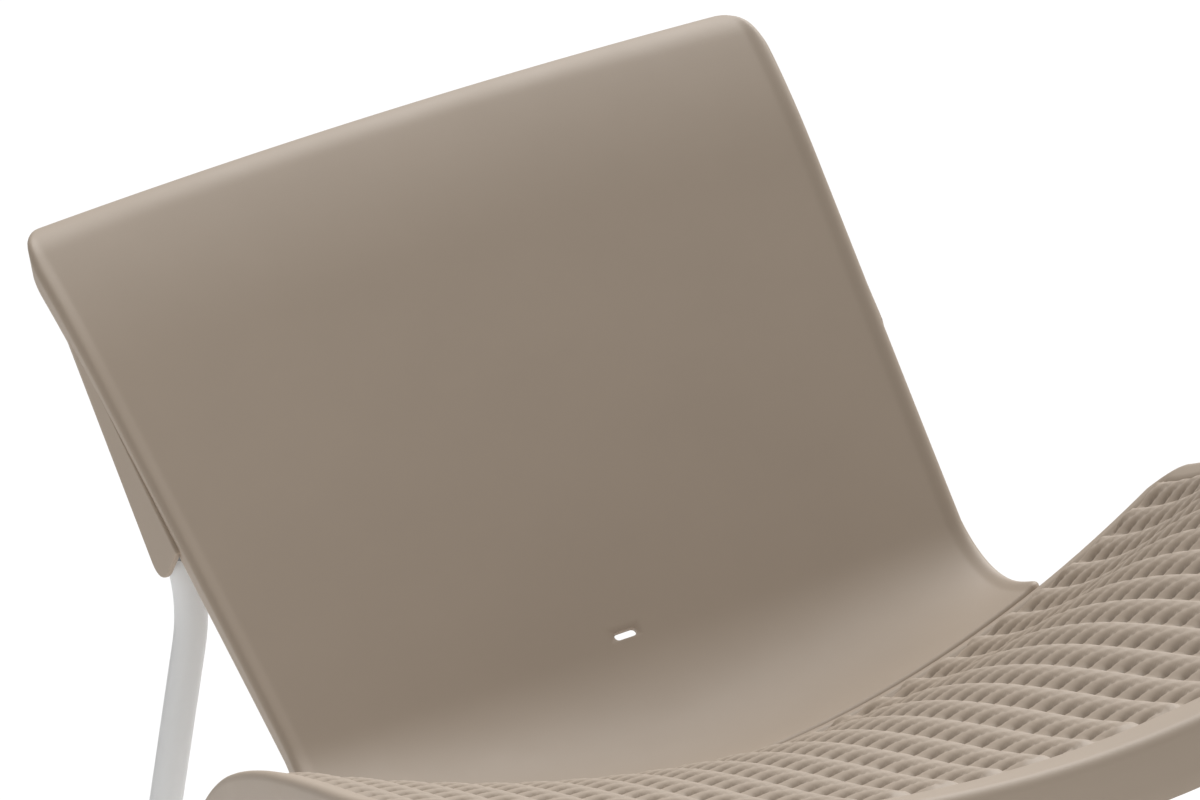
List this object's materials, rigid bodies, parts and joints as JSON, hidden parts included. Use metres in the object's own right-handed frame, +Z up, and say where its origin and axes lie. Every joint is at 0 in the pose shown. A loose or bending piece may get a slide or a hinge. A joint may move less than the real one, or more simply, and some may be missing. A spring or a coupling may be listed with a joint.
{
  "type": "reclining sun lounger",
  "caption": "Low garden lounger: dished moulded seat with a rope-weave face, reclining moulded backrest with a rolled top, on a tube underframe.",
  "frame": {"origin": "on the ground, under the centre of the lounger's outer box with the backrest raised", "axes": "+Z up, +Y from the foot end towards the head end, +X to the sitter's left-hand side seen from the foot end, symmetric about X = 0"},
  "size_m": [0.9124, 1.485, 0.7839],
  "materials": {
    "moulded_taupe_plastic": "fine moulded grain, matt",
    "pale_coated_tube": "pale grey powder coat, satin",
    "grey_plastic": "grey moulded plastic, matt",
    "zinc_plated_steel": "zinc plated, satin"
  },
  "bodies": {
    "seat_frame": {"bracket_bolt_left": "zinc_plated_steel", "bracket_bolt_right": "zinc_plated_steel", "cross_tube_front": "pale_coated_tube", "cross_tube_hip": "pale_coated_tube", "foot_cap_front_left": "grey_plastic", "foot_cap_front_right": "grey_plastic", "foot_cap_hip_left": "grey_plastic", "foot_cap_hip_right": "grey_plastic", "front_leg_left": "pale_coated_tube", "front_leg_right": "pale_coated_tube", "hinge_bracket_left": "zinc_plated_steel", "hinge_bracket_right": "zinc_plated_steel", "hinge_pin_left": "zinc_plated_steel", "hinge_pin_right": "zinc_plated_steel", "hinge_washer_left": "grey_plastic", "hinge_washer_right": "grey_plastic", "hip_leg_left": "pale_coated_tube", "hip_leg_right": "pale_coated_tube", "leg_clamp_front_left": "grey_plastic", "leg_clamp_front_right": "grey_plastic", "leg_clamp_hip_left": "grey_plastic", "leg_clamp_hip_right": "grey_plastic", "rail_left": "pale_coated_tube", "rail_plug_foot_left": "grey_plastic", "rail_plug_foot_right": "grey_plastic", "rail_plug_hip_left": "grey_plastic", "rail_plug_hip_right": "grey_plastic", "rail_right": "pale_coated_tube", "seat_screw_foot_left": "zinc_plated_steel", "seat_screw_foot_right": "zinc_plated_steel", "seat_screw_hip_left": "zinc_plated_steel", "seat_screw_hip_right": "zinc_plated_steel", "seat_screw_knee_left": "zinc_plated_steel", "seat_screw_knee_right": "zinc_plated_steel", "seat_shell": "moulded_taupe_plastic"},
    "backrest": {"arm_screw_high_left": "zinc_plated_steel", "arm_screw_high_right": "zinc_plated_steel", "arm_screw_low_left": "zinc_plated_steel", "arm_screw_low_right": "zinc_plated_steel", "backrest_shell": "moulded_taupe_plastic", "hinge_arm_left": "zinc_plated_steel", "hinge_arm_right": "zinc_plated_steel", "pivot_pin_left": "zinc_plated_steel", "pivot_pin_right": "zinc_plated_steel"},
    "rear_legs": {"foot_cap_rear_left": "grey_plastic", "foot_cap_rear_right": "grey_plastic", "leg_bush_left": "grey_plastic", "leg_bush_right": "grey_plastic", "rear_cross_bar": "pale_coated_tube", "rear_leg_left": "pale_coated_tube", "rear_leg_right": "pale_coated_tube"}
  },
  "joints": [
    {"name": "back_recline", "type": "hinge", "parent": "seat_frame", "child": "backrest", "pos_m": [0, 0.11541, 0.268], "axis": [1, 0, 0], "range_deg": [-45, 0]},
    {"name": "rear_leg_swing", "type": "hinge", "parent": "backrest", "child": "rear_legs", "pos_m": [0, 0.4002, 0.53988], "axis": [1, 0, 0], "range_deg": [0, 84]}
  ],
  "couplings": [
    {"joint": "rear_leg_swing", "follows": "back_recline", "ratio": -1.85}
  ]
}
